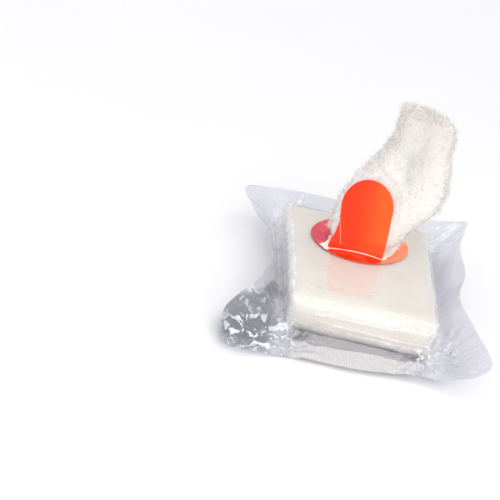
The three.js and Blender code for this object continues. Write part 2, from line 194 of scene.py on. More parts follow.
class LabelSettings(PropertyGroup):
    """Sizes and colours of the label and its tongue"""

    thickness: length_setting("Thickness", "Thickness of the label", 0.22 * MM)
    front_colour: colour_setting("Front colour", "Colour in front of the fold", (1.0, 0.03, 0.0))
    left_colour: colour_setting("Left colour", "Colour left of the opening", (0.56, 0.07, 0.1))
    right_colour: colour_setting("Right colour", "Colour right of the opening", (0.85, 0.23, 0.125))
    worn_colour: colour_setting("Worn colour", "Colour where the ink is worn", (1, 0.55, 0.4))
    # Painted light: the label gives off this share of its own colour as emission, though it is no lamp
    painted_glow: share_setting("Glow", "Share of its colour that the fluorescent ink gives off", 0.16)
    tongue_colour: colour_setting("Tongue colour", "Colour of the torn-up tongue", (0.97, 0.04, 0.005))
    tongue_side: colour_setting("Tongue side", "Colour of the tongue's right side", (1.0, 0.105, 0.008))
    core_colour: colour_setting("Core colour", "Colour of the torn white core", (0.9, 0.84, 0.76))
    core_stain: colour_setting("Core stain", "Colour of ink left on the core", (0.95, 0.72, 0.62))


class StageSettings(PropertyGroup):
    """Light and camera"""

    distance: length_setting("Distance", "Distance of the camera from the top of the block", 0.5)
    azimuth: angle_setting("Azimuth", "Turn of the camera about the vertical", -1.3)
    elevation: angle_setting("Elevation", "Height of the camera above the horizon", 24.6)
    roll: angle_setting("Roll", "Clockwise roll of the camera", 13)
    sky: colour_setting("Sky", "Colour of the light from all round", (0.985, 0.985, 1.0))
    sky_strength: FloatProperty(
        name="Sky strength", description="Strength of the light from all round", default=0.885
    )
    key_strength: FloatProperty(name="Key strength", description="Strength of the key light", default=0.6)
    floor_colour: colour_setting("Floor colour", "Colour of the floor", (0.8, 0.8, 0.81))


# Mesh helpers


def deselect_all():
    """Leaves object mode on and nothing selected."""
    if bpy.context.object and bpy.context.object.mode != "OBJECT":
        bpy.ops.object.mode_set(mode="OBJECT")
    bpy.ops.object.select_all(action="DESELECT")


def make_active(obj):
    """Selects one object alone and makes it active."""
    deselect_all()
    obj.select_set(True)
    bpy.context.view_layer.objects.active = obj


def edit_whole(obj, operator, **values):
    """Runs an edit mode operator on the whole of an object's mesh."""
    make_active(obj)
    bpy.ops.object.mode_set(mode="EDIT")
    bpy.ops.mesh.select_all(action="SELECT")
    operator(**values)
    bpy.ops.object.mode_set(mode="OBJECT")


def recalculate(obj):
    """Turns an object's faces outwards."""
    edit_whole(obj, bpy.ops.mesh.normals_make_consistent, inside=False)


def to_quads(obj):
    """Joins pairs of triangles into four-sided faces."""
    convert = bpy.ops.mesh.tris_convert_to_quads
    edit_whole(obj, convert, face_threshold=QUAD_ANGLE, shape_threshold=QUAD_ANGLE)


def apply_modifier(obj, kind, **values):
    """Adds a modifier with these values to the object and applies it."""
    make_active(obj)
    modifier = obj.modifiers.new(kind.title(), kind)
    for name, value in values.items():
        setattr(modifier, name, value)
    if bpy.ops.object.modifier_apply(modifier=modifier.name) != {"FINISHED"}:
        raise RuntimeError(f"{kind} wasn't applied to {obj.name}")


def smooth(obj, angle=None):
    """Shades an object smooth, or smooth up to an angle between faces."""
    make_active(obj)
    if angle is None:
        bpy.ops.object.shade_smooth()
    else:
        bpy.ops.object.shade_smooth_by_angle(angle=angle)


def finish_piece(obj, slot, material, *nodes):
    """Gives a piece its material and ties it to the frame, in place of these nodes."""
    obj.data.materials.clear()
    obj.data.materials.append(material)
    arrange(material.node_tree)
    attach(obj, "root")
    if nodes:
        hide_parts(*nodes)


def node_copy(node, name):
    """A merged copy of a node's mesh as a new object."""
    obj = bpy.data.objects.new(name, bpy.data.objects[node].data.copy())
    bpy.context.collection.objects.link(obj)
    edit_whole(obj, bpy.ops.mesh.remove_doubles, threshold=MERGE_DISTANCE)
    return obj


def new_mesh_object(name, points, faces):
    """A new object with a mesh of these points and faces."""
    mesh = bpy.data.meshes.new(name)
    mesh.from_pydata(points, [], faces)
    mesh.validate()
    obj = bpy.data.objects.new(name, mesh)
    bpy.context.collection.objects.link(obj)
    return obj


def keep_skin(obj, seed, seed_normal, sharp):
    """Deletes all faces that aren't joined to the one nearest the seed by edges less sharp than the limit."""
    bm = bmesh.new()
    bm.from_mesh(obj.data)
    facing = [f for f in bm.faces if f.normal.dot(seed_normal) > 0.9]
    first = min(facing, key=lambda f: (f.calc_center_median() - seed).length)
    kept = {first}
    front = [first]
    while front:
        face = front.pop()
        for edge in face.edges:
            if len(edge.link_faces) != 2 or edge.calc_face_angle() > sharp:
                continue
            for other in edge.link_faces:
                if other not in kept:
                    kept.add(other)
                    front.append(other)
    bmesh.ops.delete(bm, geom=[f for f in bm.faces if f not in kept], context="FACES")
    bm.to_mesh(obj.data)
    bm.free()
    return len(kept)


def move_points(obj, where):
    """Moves each vertex to where(place, normal)."""
    mesh = obj.data
    normals = [v.vector.copy() for v in mesh.vertex_normals]
    places = [where(v.co.copy(), n) for v, n in zip(mesh.vertices, normals)]
    for vertex, place in zip(mesh.vertices, places):
        vertex.co = place
    mesh.update()


# Shape functions


def ramp(value, low, high):
    """0 below low, 1 above high and a soft step between."""
    t = min(max((value - low) / (high - low), 0), 1)
    return t * t * (3 - 2 * t)


def ridge(place, size):
    """Noise with sharp crests, from 0 to 1, on waves of this size."""
    return 1 - min(abs(noise.noise(place / size)) * 2.4, 1)


def facets(place, size):
    """Crumpled-sheet noise from 0 to 1: flat facets of this size between sharp creases."""
    distances, _ = noise.voronoi(place / size)
    return min(distances[1] - distances[0], 1)


def in_plan(place, centre):
    """The way in plan from a centre to a place."""
    return Vector((place.x - centre.x, place.y - centre.y, 0))


def slipped_block(place):
    """Where a point of a square block lies on the slipped and tapered one."""
    share = place.y / BLOCK_DEPTH
    wider = 1 + 2 * BLOCK_TAPER * share / BLOCK_WIDTH
    return Vector((place.x * wider - BLOCK_SLIP * share, place.y, place.z))


def square_block(place):
    """Where a point of the slipped and tapered block lies on a square one."""
    share = place.y / BLOCK_DEPTH
    wider = 1 + 2 * BLOCK_TAPER * share / BLOCK_WIDTH
    return Vector(((place.x + BLOCK_SLIP * share) / wider, place.y, place.z))


def past_block(square):
    """How far a point of the square plan lies out past the block."""
    return max(abs(square.x) - BLOCK_WIDTH / 2, abs(square.y) - BLOCK_DEPTH / 2)


def rolled(place, reach, top, radius):
    """Draws a point in to the round upper edges that the folds give the block in front and at the back."""
    over = abs(place.y) - (reach - radius)
    above = place.z - (top - radius)
    away = math.hypot(over, above)
    if over <= 0 or above <= 0 or away <= radius:
        return place
    share = radius / away
    out = reach - radius + over * share
    return Vector((place.x, math.copysign(out, place.y), top - radius + above * share))


def faceted(place, reach, top, radius):
    """Draws a point in to the flat facet that the tight film makes at the right of the block's front edge."""
    share = ramp(place.x, *FACET_START) * (1 - ramp(place.x, *FACET_END))
    facing = Vector((0, -math.cos(FACET_TILT), math.sin(FACET_TILT)))
    centre = Vector((0, radius - reach, top - radius))
    past = (place - centre).dot(facing) - (radius - FACET_DEPTH * share)
    return place - facing * past if past > 0 and place.y < -reach / 2 and share > 0 else place


def from_tongue(place, drop=0.0):
    """How far a point of the free end lies from the middle line of the tongue that leans on it."""
    past = max(place.z - LABEL_HIGH.z - TONGUE_ROUND + drop, 0)
    return math.hypot((TO_LABEL @ place).x, past)


# Shader node groups and materials


def feed(tree, socket, value):
    """Links a node's input to a socket, or sets it to a value."""
    if isinstance(value, bpy.types.NodeSocket):
        tree.links.new(value, socket)
    else:
        socket.default_value = value


def feed_all(tree, node, inputs):
    """Feeds the inputs of these names."""
    for name, value in inputs.items():
        feed(tree, node.inputs[name], value)


def add_node(tree, kind, **inputs):
    """A new node of this kind, with the inputs of these names fed."""
    node = tree.nodes.new(kind)
    feed_all(tree, node, inputs)
    return node


def math_node(tree, operation, *values, clamp=False):
    """The result of a math node."""
    node = tree.nodes.new("ShaderNodeMath")
    node.operation = operation
    node.use_clamp = clamp
    for socket, value in zip(node.inputs, values):
        feed(tree, socket, value)
    return node.outputs[0]


def product(tree, first, *others):
    """The product of sockets and numbers."""
    for other in others:
        first = math_node(tree, "MULTIPLY", first, other)
    return first


def vector_node(tree, operation, first, second):
    """The result of a vector math node; a scaling has a number as its second value."""
    node = tree.nodes.new("ShaderNodeVectorMath")
    node.operation = operation
    feed(tree, node.inputs[0], first)
    feed(tree, node.inputs["Scale" if operation == "SCALE" else 1], second)
    return node.outputs["Value" if operation == "DISTANCE" else "Vector"]


def separate(tree, vector):
    """The X, Y and Z of a vector."""
    outputs = add_node(tree, "ShaderNodeSeparateXYZ", Vector=vector).outputs
    return outputs["X"], outputs["Y"], outputs["Z"]


def noise_node(tree, place, scale, detail=2.0, distortion=0.0):
    """A noise texture's value."""
    return add_node(
        tree, "ShaderNodeTexNoise", Vector=place, Scale=scale, Detail=detail, Distortion=distortion
    ).outputs["Fac"]


def range_node(tree, value, low, high, start=0.0, end=1.0, soft=True):
    """A value mapped from one range to another and kept inside it."""
    node = tree.nodes.new("ShaderNodeMapRange")
    node.interpolation_type = "SMOOTHSTEP" if soft else "LINEAR"
    feed_all(tree, node, {"Value": value, "From Min": low, "From Max": high, "To Min": start, "To Max": end})
    return node.outputs["Result"]


def falling(tree, value, low, high):
    """1 below low, 0 above high and a soft step between."""
    return range_node(tree, value, low, high, 1.0, 0.0)


def mix_colour(tree, share, first, second):
    """The first colour with this share of the second. The Mix node's colour sockets share their names, so
    they go by number."""
    node = tree.nodes.new("ShaderNodeMix")
    node.data_type = "RGBA"
    feed(tree, node.inputs[0], share)
    for index, colour in ((6, first), (7, second)):
        feed(tree, node.inputs[index], colour if isinstance(colour, bpy.types.NodeSocket) else (*colour, 1))
    return node.outputs[2]


def mix_shader(tree, share, first, second):
    """A shader node that is the first one with this share of the second."""
    node = tree.nodes.new("ShaderNodeMixShader")
    for socket, value in zip(node.inputs, (share, first.outputs[0], second.outputs[0])):
        tree.links.new(value, socket)
    return node


def bump(tree, height, strength, distance, before=None):
    """The normal of a bump, over the bump before it."""
    node = add_node(tree, "ShaderNodeBump", Height=height, Strength=strength, Distance=distance)
    if before is not None:
        tree.links.new(before, node.inputs["Normal"])
    return node.outputs["Normal"]


def arrange(tree):
    """Lays a tree's nodes out in columns, by the number of links between each node and the output."""
    columns = {node.name: 0 for node in tree.nodes}
    for _ in tree.nodes:
        for link in tree.links:
            start, end = link.from_node.name, link.to_node.name
            columns[start] = max(columns[start], columns[end] + 1)
    rows = {}
    for node in tree.nodes:
        column = columns[node.name]
        rows[column] = rows.get(column, 0) + 1
        node.location = (-NODE_WIDTH * column, -NODE_HEIGHT * rows[column])


def new_group(name, inputs, outputs):
    """An empty node group with these sockets, with its input and output nodes."""
    group = bpy.data.node_groups.new(name, "ShaderNodeTree")
    for label, kind, default in inputs:
        socket = group.interface.new_socket(label, in_out="INPUT", socket_type=kind)
        socket.default_value = default
    for label in outputs:
        group.interface.new_socket(label, in_out="OUTPUT", socket_type="NodeSocketFloat")
    return group, group.nodes.new("NodeGroupInput").outputs, group.nodes.new("NodeGroupOutput")


def weave_group():
    """Open gauze weave: crossing threads that wander, with knots and loose places."""
    inputs = [
        ("Vector", "NodeSocketVector", (0, 0, 0)),
        ("Pitch", "NodeSocketFloat", 0.55 * MM),
        ("Wander", "NodeSocketFloat", 0.4),
    ]
    group, entry, leave = new_group("Gauze weave", inputs, ["Height", "Shade"])
    wander = add_node(group, "ShaderNodeTexNoise", Vector=entry["Vector"], Scale=420.0).outputs["Color"]
    centred = vector_node(group, "SUBTRACT", wander, (0.5, 0.5, 0.5))
    shift = vector_node(group, "SCALE", centred, product(group, entry["Pitch"], entry["Wander"], 6.0))
    moved = vector_node(group, "ADD", entry["Vector"], shift)
    turns = math_node(group, "DIVIDE", 2 * math.pi, entry["Pitch"])
    waves = [math_node(group, "SINE", product(group, axis, turns)) for axis in separate(group, moved)]
    cross = math_node(group, "MAXIMUM", math_node(group, "MAXIMUM", waves[0], waves[1]), waves[2])
    clumps = noise_node(group, entry["Vector"], 900.0, 4.0)
    height = math_node(group, "MULTIPLY_ADD", cross, 0.3, clumps)
    feed_all(group, leave, {"Height": height, "Shade": range_node(group, height, 0.25, 0.95)})
    return group


def crinkle_group():
    """Creases of thin film: facets between sharp lines, at two sizes."""
    inputs = [("Vector", "NodeSocketVector", (0, 0, 0)), ("Size", "NodeSocketFloat", 4 * MM)]
    group, entry, leave = new_group("Film crinkle", inputs, ["Height", "Lines"])
    scale = math_node(group, "DIVIDE", 1.0, entry["Size"])
    bend = add_node(group, "ShaderNodeTexNoise", Vector=entry["Vector"], Scale=180.0).outputs["Color"]
    moved = vector_node(group, "ADD", entry["Vector"], vector_node(group, "SCALE", bend, 6 * MM))
    heights = []
    for times in (1.0, 2.7):
        cells = add_node(group, "ShaderNodeTexVoronoi", Vector=moved, Scale=product(group, scale, times))
        cells.feature = "DISTANCE_TO_EDGE"
        heights.append(cells.outputs["Distance"])
    both = math_node(group, "MULTIPLY_ADD", heights[1], 0.35, heights[0])
    feed_all(group, leave, {"Height": both, "Lines": falling(group, heights[0], 0.0, 0.06)})
    return group


GROUPS = {}


def shared_group(tree, maker, **inputs):
    """The outputs of an instance of a shared group, which its maker builds the first time."""
    if maker not in GROUPS:
        GROUPS[maker] = maker()
        arrange(GROUPS[maker])
    node = tree.nodes.new("ShaderNodeGroup")
    node.node_tree = GROUPS[maker]
    feed_all(tree, node, inputs)
    return node.outputs


def new_material(name):
    """A material with a Principled shader, and its tree, shader and object coordinates."""
    material = bpy.data.materials.new(name)
    material.use_nodes = True
    tree = material.node_tree
    place = tree.nodes.new("ShaderNodeTexCoord").outputs["Object"]
    return material, tree, tree.nodes["Principled BSDF"], place


def gauze_material(name, settings, pitch, soft):
    """Warm white cotton gauze, soft from 0 for the pressed block to 1 for the loose end."""
    material, tree, shader, place = new_material(name)
    loose = soft > 0.5
    dark = settings.shade_and_tone_colour
    weave = shared_group(tree, weave_group, Vector=place, Pitch=pitch)
    patches = noise_node(tree, place, 70.0, 3.0)
    shade = range_node(tree, patches, 0.3, 0.7, 0.35 * (1 - 0.6 * soft), 0.0)
    colour = mix_colour(tree, shade, settings.loose_colour if loose else settings.colour, dark)
    _, north, height = separate(tree, place)
    relief = patches
    if loose:
        fluff = noise_node(tree, place, 900.0, 2.0, 1.2)
        relief = math_node(tree, "ADD", patches, fluff)
        colour = mix_colour(tree, range_node(tree, fluff, 0.35, 0.65, 0.1, 0.0), colour, dark)
        # Painted shade: the free end is darker toward its cut end, and a little near the label
        upper = range_node(tree, height, 36 * MM, 72 * MM, 0.0, 0.18)
        lower = range_node(tree, height, 20 * MM, 38 * MM, 0.07, 0.0)
        shade = math_node(tree, "ADD", upper, lower)
    else:
        # Painted shade: the block's top is darker than its sides, the more so toward the back
        normal = tree.nodes.new("ShaderNodeNewGeometry").outputs["Normal"]
        upward = range_node(tree, separate(tree, normal)[2], 0.6, 1.0)
        shade = product(tree, range_node(tree, north, -20 * MM, 45 * MM, 0.135, 0.215), upward)
    colour = mix_colour(tree, shade, colour, BLACK)
    # Painted shade: the weave's hollows between threads are mixed toward the darker colour
    threads = range_node(tree, weave["Shade"], 0.0, 1.0, 0.4 * (1 - 0.5 * soft), 0.0)
    normal = bump(tree, relief, 0.25 + 0.25 * soft, 0.6 * MM)
    feed_all(tree, shader, {
        "Base Color": mix_colour(tree, threads, colour, dark),
        "Roughness": 0.95,
        "Specular IOR Level": 0.15,
        "Sheen Weight": 0.3 * soft,
        "Sheen Roughness": 0.6,
        "Subsurface Weight": 0.5 * soft,
        "Subsurface Radius": (4 * MM, 3.6 * MM, 3.2 * MM),
        "Subsurface Scale": 0.8,
        "Normal": bump(tree, weave["Height"], 0.45 - 0.2 * soft, 0.22 * MM, normal),
    })
    return material


def fibre_material(settings):
    """Loose cotton fibres, some a little darker."""
    material, tree, shader, place = new_material("loose cotton fibres")
    colour = mix_colour(tree, noise_node(tree, place, 400.0), settings.fibre_colour, settings.fibre_shade)
    feed_all(tree, shader, {"Base Color": colour, "Roughness": 0.9, "Specular IOR Level": 0.1})
    return material


def over_block(tree, east, north):
    """A mask that is 1 over the block and 0 on the flanges, and how far a place is past the long sides."""
    share = math_node(tree, "DIVIDE", north, BLOCK_DEPTH)
    square = math_node(tree, "MULTIPLY_ADD", share, BLOCK_SLIP, east)
    half = math_node(tree, "MULTIPLY_ADD", share, BLOCK_TAPER, BLOCK_WIDTH / 2)
    past = math_node(tree, "SUBTRACT", math_node(tree, "ABSOLUTE", square), half)
    away = math_node(tree, "ABSOLUTE", north)
    ends = falling(tree, away, BLOCK_DEPTH / 2 + 0.8 * MM, BLOCK_DEPTH / 2 + 2.8 * MM)
    return product(tree, falling(tree, past, 0.6 * MM, 2.6 * MM), ends), past


# The lower web's grey panel, painted shade seen through the film, ends in front along a line that steps at
# the left and then slopes. Each row is a range along X and the places, or the rise, along Y that it gives.
PANEL_STEP = (-34 * MM, -20 * MM, -59.5 * MM, -51.2 * MM)
PANEL_SLOPE = (-17 * MM, 20 * MM, 0.0, 2.2 * MM)
SEAL_RIB_PITCH = 0.85 * MM
CRINKLE_SIZE = 5 * MM

# Places of painted highlights, white glints on the crumpled film: middle, distances from it between which the
# glints end, and share
PAINTED_GLINT_PLACES = (
    ((-31 * MM, -53 * MM, 4 * MM), 6 * MM, 17 * MM, 0.85),
    ((32 * MM, -44 * MM, 5 * MM), 3 * MM, 15 * MM, 0.5),
)


def seal_masks(tree, east, north):
    """How far a place is in front of the panel's edge, a mask of the ribbed seal, and its ribs' waves."""
    slope = range_node(tree, east, *PANEL_SLOPE, soft=False)
    edge = math_node(tree, "ADD", range_node(tree, east, *PANEL_STEP), slope)
    past = math_node(tree, "SUBTRACT", edge, north)
    band = product(
        tree,
        range_node(tree, past, 0.5 * MM, 1.5 * MM),
        range_node(tree, east, -20 * MM, -14 * MM),
        falling(tree, east, 22 * MM, 31 * MM),
    )
    waves = math_node(tree, "SINE", product(tree, east, 2 * math.pi / SEAL_RIB_PITCH))
    return past, band, product(tree, waves, band)


def milky_rim_and_painted_glints(tree, place, beside, waves):
    """Shares of milky film along the block's long sides, and of painted highlights: white glints in the
    crumples.
    """
    rim = product(
        tree,
        range_node(tree, beside, -5 * MM, 0.5 * MM, 0.0, 0.32),
        falling(tree, beside, 1.5 * MM, 9 * MM),
        range_node(tree, waves, 0.35, 0.6, 0.4, 1.0),
    )
    painted_glints = 0.0
    for centre, near, far, share in PAINTED_GLINT_PLACES:
        distance = vector_node(tree, "DISTANCE", place, centre)
        painted_glints = math_node(tree, "ADD", painted_glints, range_node(tree, distance, near, far, share, 0.0))
    glints = noise_node(tree, place, 170.0, 3.0, 1.6)
    return rim, product(tree, painted_glints, range_node(tree, glints, 0.53, 0.6))


def shade_panel_mask(tree, place, past):
    """A mask of the lower web's grey panel, painted shade that shows in front of the block and in the front
    left pocket.
    """
    east, north, height = separate(tree, place)
    wavy = math_node(tree, "MULTIPLY_ADD", noise_node(tree, place, 90.0), 2 * MM, past)
    behind = math_node(tree, "MULTIPLY_ADD", east, -0.8, north)
    slanted = math_node(tree, "MULTIPLY_ADD", north, 0.143, east)
    return product(
        tree,
        falling(tree, wavy, 0.6 * MM, 1.4 * MM),
        falling(tree, north, -14 * MM, -12 * MM),
        falling(tree, behind, 3.5 * MM, 6 * MM),
        range_node(tree, slanted, -52.6 * MM, -51.2 * MM),
        falling(tree, east, 15 * MM, 22 * MM),
        falling(tree, height, 8 * MM, 10 * MM),
    )


def film_material(name, settings, panel):
    """Clear glossy film: see-through, mirrored by its Fresnel share, a little milky, with painted highlights
    as white glints in its crumples, and grey on a panel, which is painted shade.
    """
    material, tree, shader, place = new_material(name)
    east, north, _ = separate(tree, place)
    crinkle = shared_group(tree, crinkle_group, Vector=place, Size=CRINKLE_SIZE)
    waves = noise_node(tree, place, 90.0, 3.0)
    past, band, ribs = seal_masks(tree, east, north)
    over, beside = over_block(tree, east, north)
    rim, painted_glints = milky_rim_and_painted_glints(tree, place, beside, waves)

    haze = math_node(tree, "MULTIPLY_ADD", crinkle["Lines"], 0.04, settings.haze)
    haze = product(tree, haze, range_node(tree, over, 0.0, 1.0, 1.0, 0.15))
    haze = math_node(tree, "MULTIPLY_ADD", band, 0.34, haze)
    haze = math_node(tree, "MULTIPLY_ADD", ribs, 0.04, haze)
    haze = math_node(tree, "ADD", haze, rim)
    # Painted highlights: white glints in the crumples are added to the milky share
    haze = math_node(tree, "ADD", haze, painted_glints, clamp=True)
    tint = mix_colour(tree, over, settings.tint, settings.tight_tint)
    milky = mix_colour(tree, band, settings.haze_and_glint_colour, settings.seal_colour)
    # Painted shade: the lower web's grey panel stands in for the shade under the block
    if panel:
        area = shade_panel_mask(tree, place, past)
        pocket = falling(tree, east, -19 * MM, -9 * MM)
        through = mix_colour(tree, pocket, settings.sliver_shade_tint, settings.panel_shade_tint)
        tint = mix_colour(tree, area, tint, through)
        grey = mix_colour(tree, pocket, settings.sliver_shade_colour, settings.panel_shade_colour)
        milky = mix_colour(tree, area, milky, grey)
        haze = math_node(tree, "MULTIPLY_ADD", area, 0.4, haze, clamp=True)

    normal = bump(tree, waves, 0.3, 1.2 * MM)
    normal = bump(tree, crinkle["Height"], 0.3, 0.5 * MM, normal)
    normal = bump(tree, ribs, 0.5, 0.12 * MM, normal)
    feed_all(tree, shader, {
        "Base Color": milky,
        "Roughness": 0.35,
        "Specular IOR Level": 0.3,
        "Normal": normal,
    })
    clear = add_node(tree, "ShaderNodeBsdfTransparent", Color=tint)
    gloss = add_node(tree, "ShaderNodeBsdfGlossy", Color=(*WHITE, 1), Roughness=0.07, Normal=normal)
    fresnel = add_node(tree, "ShaderNodeFresnel", IOR=1.5, Normal=normal).outputs[0]
    backfacing = tree.nodes.new("ShaderNodeNewGeometry").outputs["Backfacing"]
    mirror = product(tree, fresnel, math_node(tree, "SUBTRACT", 1.0, backfacing))
    whole = mix_shader(tree, haze, mix_shader(tree, mirror, clear, gloss), shader)
    tree.links.new(whole.outputs[0], tree.nodes["Material Output"].inputs["Surface"])
    return material


def label_axes(tree, place):
    """X, Y and Z in the label's own plane."""
    mapping = tree.nodes.new("ShaderNodeMapping")
    mapping.vector_type = "TEXTURE"
    feed_all(tree, mapping, {
        "Vector": place,
        "Location": (LABEL_CENTRE.x, LABEL_CENTRE.y, 0),
        "Rotation": (0, 0, LABEL_TURN),
    })
    return separate(tree, mapping.outputs["Vector"])


def label_material(settings):
    """Thin label film, orange in front of the fold, pinker on the left and paler on the right, with a painted
    glow of its own colour.
    """
    material, tree, shader, place = new_material("label film")
    across, along, _ = label_axes(tree, place)
    grain = noise_node(tree, place, 260.0, 3.0)
    behind = range_node(tree, along, HINGE_Y - 0.3 * MM, HINGE_Y + 0.2 * MM)
    right = range_node(tree, across, TONGUE_HALF - 0.6 * MM, TONGUE_HALF + 0.4 * MM)
    left = falling(tree, across, 0.2 * MM - TONGUE_HALF, 0.6 * MM - TONGUE_HALF)
    behind = math_node(tree, "MAXIMUM", math_node(tree, "MAXIMUM", behind, right), left)
    side = range_node(tree, across, -4 * MM, 4 * MM)
    sides = mix_colour(tree, side, settings.left_colour, settings.right_colour)
    colour = mix_colour(tree, behind, settings.front_colour, sides)
    worn = range_node(tree, grain, 0.35, 0.75, 0.0, 0.12)
    colour = mix_colour(tree, worn, colour, settings.worn_colour)
    feed_all(tree, shader, {
        "Base Color": colour,
        "Roughness": range_node(tree, grain, 0.3, 0.7, 0.3, 0.45),
        "Specular IOR Level": 0.02,
        # Painted light: the label glows with its own colour
        "Emission Color": colour,
        "Emission Strength": settings.painted_glow,
        "Normal": bump(tree, grain, 0.15, 0.1 * MM),
    })
    return material


def tongue_material(settings):
    """Bright orange-red label film with a satin gloss, a shade more orange to the right."""
    material, tree, shader, place = new_material("tongue film")
    across, _, height = label_axes(tree, place)
    cloud = noise_node(tree, place, 55.0)
    grain = noise_node(tree, place, 500.0, 3.0)
    side = range_node(tree, math_node(tree, "MULTIPLY_ADD", cloud, 8 * MM, across), 0.0, 12 * MM)
    colour = mix_colour(tree, side, settings.tongue_colour, settings.tongue_side)
    low = range_node(tree, height, LABEL_HIGH.z, LABEL_HIGH.z + 6 * MM, 0.55, 0.0)
    feed_all(tree, shader, {
        "Base Color": mix_colour(tree, low, colour, settings.front_colour),
        "Roughness": range_node(tree, cloud, 0.3, 0.7, 0.3, 0.42),
        "Specular IOR Level": 0.2,
        "Normal": bump(tree, grain, 0.12, 0.08 * MM),
    })
    return material


def core_material(settings):
    """The label's torn white core, stained a little by its ink."""
    material, tree, shader, place = new_material("torn white core")
    grain = noise_node(tree, place, 900.0, 4.0)
    shade = range_node(tree, grain, 0.3, 0.7, 0.0, 0.25)
    feed_all(tree, shader, {
        "Base Color": mix_colour(tree, shade, settings.core_colour, settings.core_stain),
        "Roughness": 0.85,
        "Normal": bump(tree, grain, 0.4, 0.2 * MM),
    })
    return material


# The block and the free end


def shape_block(settings, place):
    """Rounds a point of the square block, cuts the grooves between its layers, and slips it to its plan."""
    low = Vector((-BLOCK_WIDTH / 2, -BLOCK_DEPTH / 2, BLOCK_LOW.z))
    high = Vector((BLOCK_WIDTH / 2, BLOCK_DEPTH / 2, BLOCK_TOP))
    radius = settings.edge_radius
    inner = Vector([min(max(p, a + radius), b - radius) for p, a, b in zip(place, low, high)])
    normal = (place - inner).normalized()
    rounded = rolled(inner + normal * radius, high.y, high.z, settings.roll_radius - FILM_GAP)
    upright = 1 - abs(normal.z)
    # Layers that wander up and down, with grooves that are deeper in some places
    along = place.x + place.y
    drift = noise.noise(Vector((along * 60, place.z * 40, 3.1))) * 0.5 * MM
    plies = (place.z + drift) / settings.ply_height
    layer = plies % 1
    groove = max(0, 1 - min(layer, 1 - layer) * 5)
    strength = 0.6 + 0.8 * noise.noise(Vector((along * 90, math.floor(plies) * 7.3, 0)))
    rounded -= normal * upright * groove * settings.ply_groove * max(strength, 0)
    rough = noise.fractal(place * 160, 1.0, 2.0, 3)
    rounded += normal * rough * 0.16 * MM
    rounded -= UP * (1 - upright) * 0.12 * MM * (1 + noise.noise(place * 45))
    return slipped_block(rounded)


class GAUZE_OT_block(Operator):
    """Models the compressed block of folded gauze"""

    bl_idname = "gauze_pouch.block"
    bl_label = "Gauze block"

    def execute(self, context):
        settings = context.scene.pouch_gauze
        deselect_all()
        bpy.ops.mesh.primitive_cube_add(size=1, location=(0, 0, (BLOCK_LOW.z + BLOCK_TOP) / 2))
        obj = context.object
        obj.name = "gauze_block"
        obj.scale = (BLOCK_WIDTH, BLOCK_DEPTH, BLOCK_TOP - BLOCK_LOW.z)
        make_active(obj)
        bpy.ops.object.transform_apply(location=True, rotation=True, scale=True)
        edit_whole(obj, bpy.ops.mesh.subdivide, number_cuts=BLOCK_CUTS)
        move_points(obj, lambda place, _: shape_block(settings, place))
        smooth(obj)
        material = gauze_material("pressed gauze", settings, settings.thread_pitch, 0.2)
        finish_piece(obj, "gauze", material, "gauze_stack")
        return {"FINISHED"}


def tail_shape(settings, place, normal):
    """Adds soft folds along the band, lumps and the cotton's nap to a point of the free end."""
    above = ramp(place.z, LABEL_HIGH.z, LABEL_HIGH.z + 14 * MM)
    drawn = Vector((place.x, place.y, place.z * 0.35))
    fold = noise.noise(drawn * 110 + Vector((4.2, 0, 0)))
    lumps = noise.noise(place * 230)
    nap = noise.fractal(Vector((place.x, place.y, place.z * 0.8)) * 700, 0.8, 2.0, 2)
    height = settings.crumple * (fold * above + 0.2 * lumps * (0.3 + 0.7 * above))
    # No lump stands out where the tongue leans on the band
    leaned = 1 - ramp(from_tongue(place), TONGUE_HALF + 1 * MM, TONGUE_HALF + 3 * MM)
    if normal.y < 0.2:
        height = height * (1 - leaned) - TONGUE_DENT * leaned
    # The nap is higher along the edges, where tufts stand out
    height += settings.nap * nap * (1 + 1.6 * abs(normal.x) ** 3)
    height += settings.tuft * noise.noise(place * 430) * (abs(normal.x) ** 2 + abs(normal.z) ** 2)
    return place + normal * height


def cut_end(place, low, high, middle):
    """Rounds and rags the strip's cut end between two places along X; its front ply is in front of middle."""
    share = ramp(place.z, TAIL_TOP - 14 * MM, TAIL_TOP - 3 * MM)
    across = (2 * place.x - low - high) / (high - low)
    front = ramp(middle - place.y, -0.8 * MM, 0.8 * MM)
    back = 1 - front
    bulge = 2.2 * MM * front * (1 - across * across) - 1.2 * MM * back * (1 - ramp(across, -0.2, 0.4))
    bulge -= 0.8 * MM * ramp(across, 0.3, 1)
    rag = noise.fractal(Vector((place.x * 420, place.y * 420, 1.7)), 0.8, 2.0, 3) * 0.5 * MM
    return place + UP * share * (bulge + rag)


def fibre_weight(place, normal):
    """How many loose fibres stand at a place: most along the edges and at the cut end, none by the tongue."""
    edge = 1.8 * abs(normal.x) ** 3 + 0.12
    end = 2 * ramp(place.z, TAIL_TOP - 6 * MM, TAIL_TOP)
    tufts = 0.6 + 0.8 * ramp(noise.noise(place * 160), -0.1, 0.5)
    clear = normal.y > 0.2 or from_tongue(place, 2 * MM) > TONGUE_HALF + 0.8 * MM
    return (edge + end) * tufts if clear and place.z > LABEL_HIGH.z + 1 * MM else 0


def fibre(points, faces, root, way, side, length, width, bend):
    """Adds one tapering three-sided fibre, bent half way, to a list of points and faces."""
    start = len(points)
    across = way.cross(side).normalized()
    middle = root + way * length / 2
    for place, radius in ((root, width / 2), (middle, width * 0.4)):
        for corner in range(3):
            angle = 2 * math.pi * corner / 3
            points.append(place + (side * math.cos(angle) + across * math.sin(angle)) * radius)
    points.append(middle + (way + bend).normalized() * length / 2)
    for corner in range(3):
        after = (corner + 1) % 3
        faces.append((start + corner, start + after, start + 3 + after, start + 3 + corner))
        faces.append((start + 3 + corner, start + 3 + after, start + 6))
    faces.append((start, start + 2, start + 1))


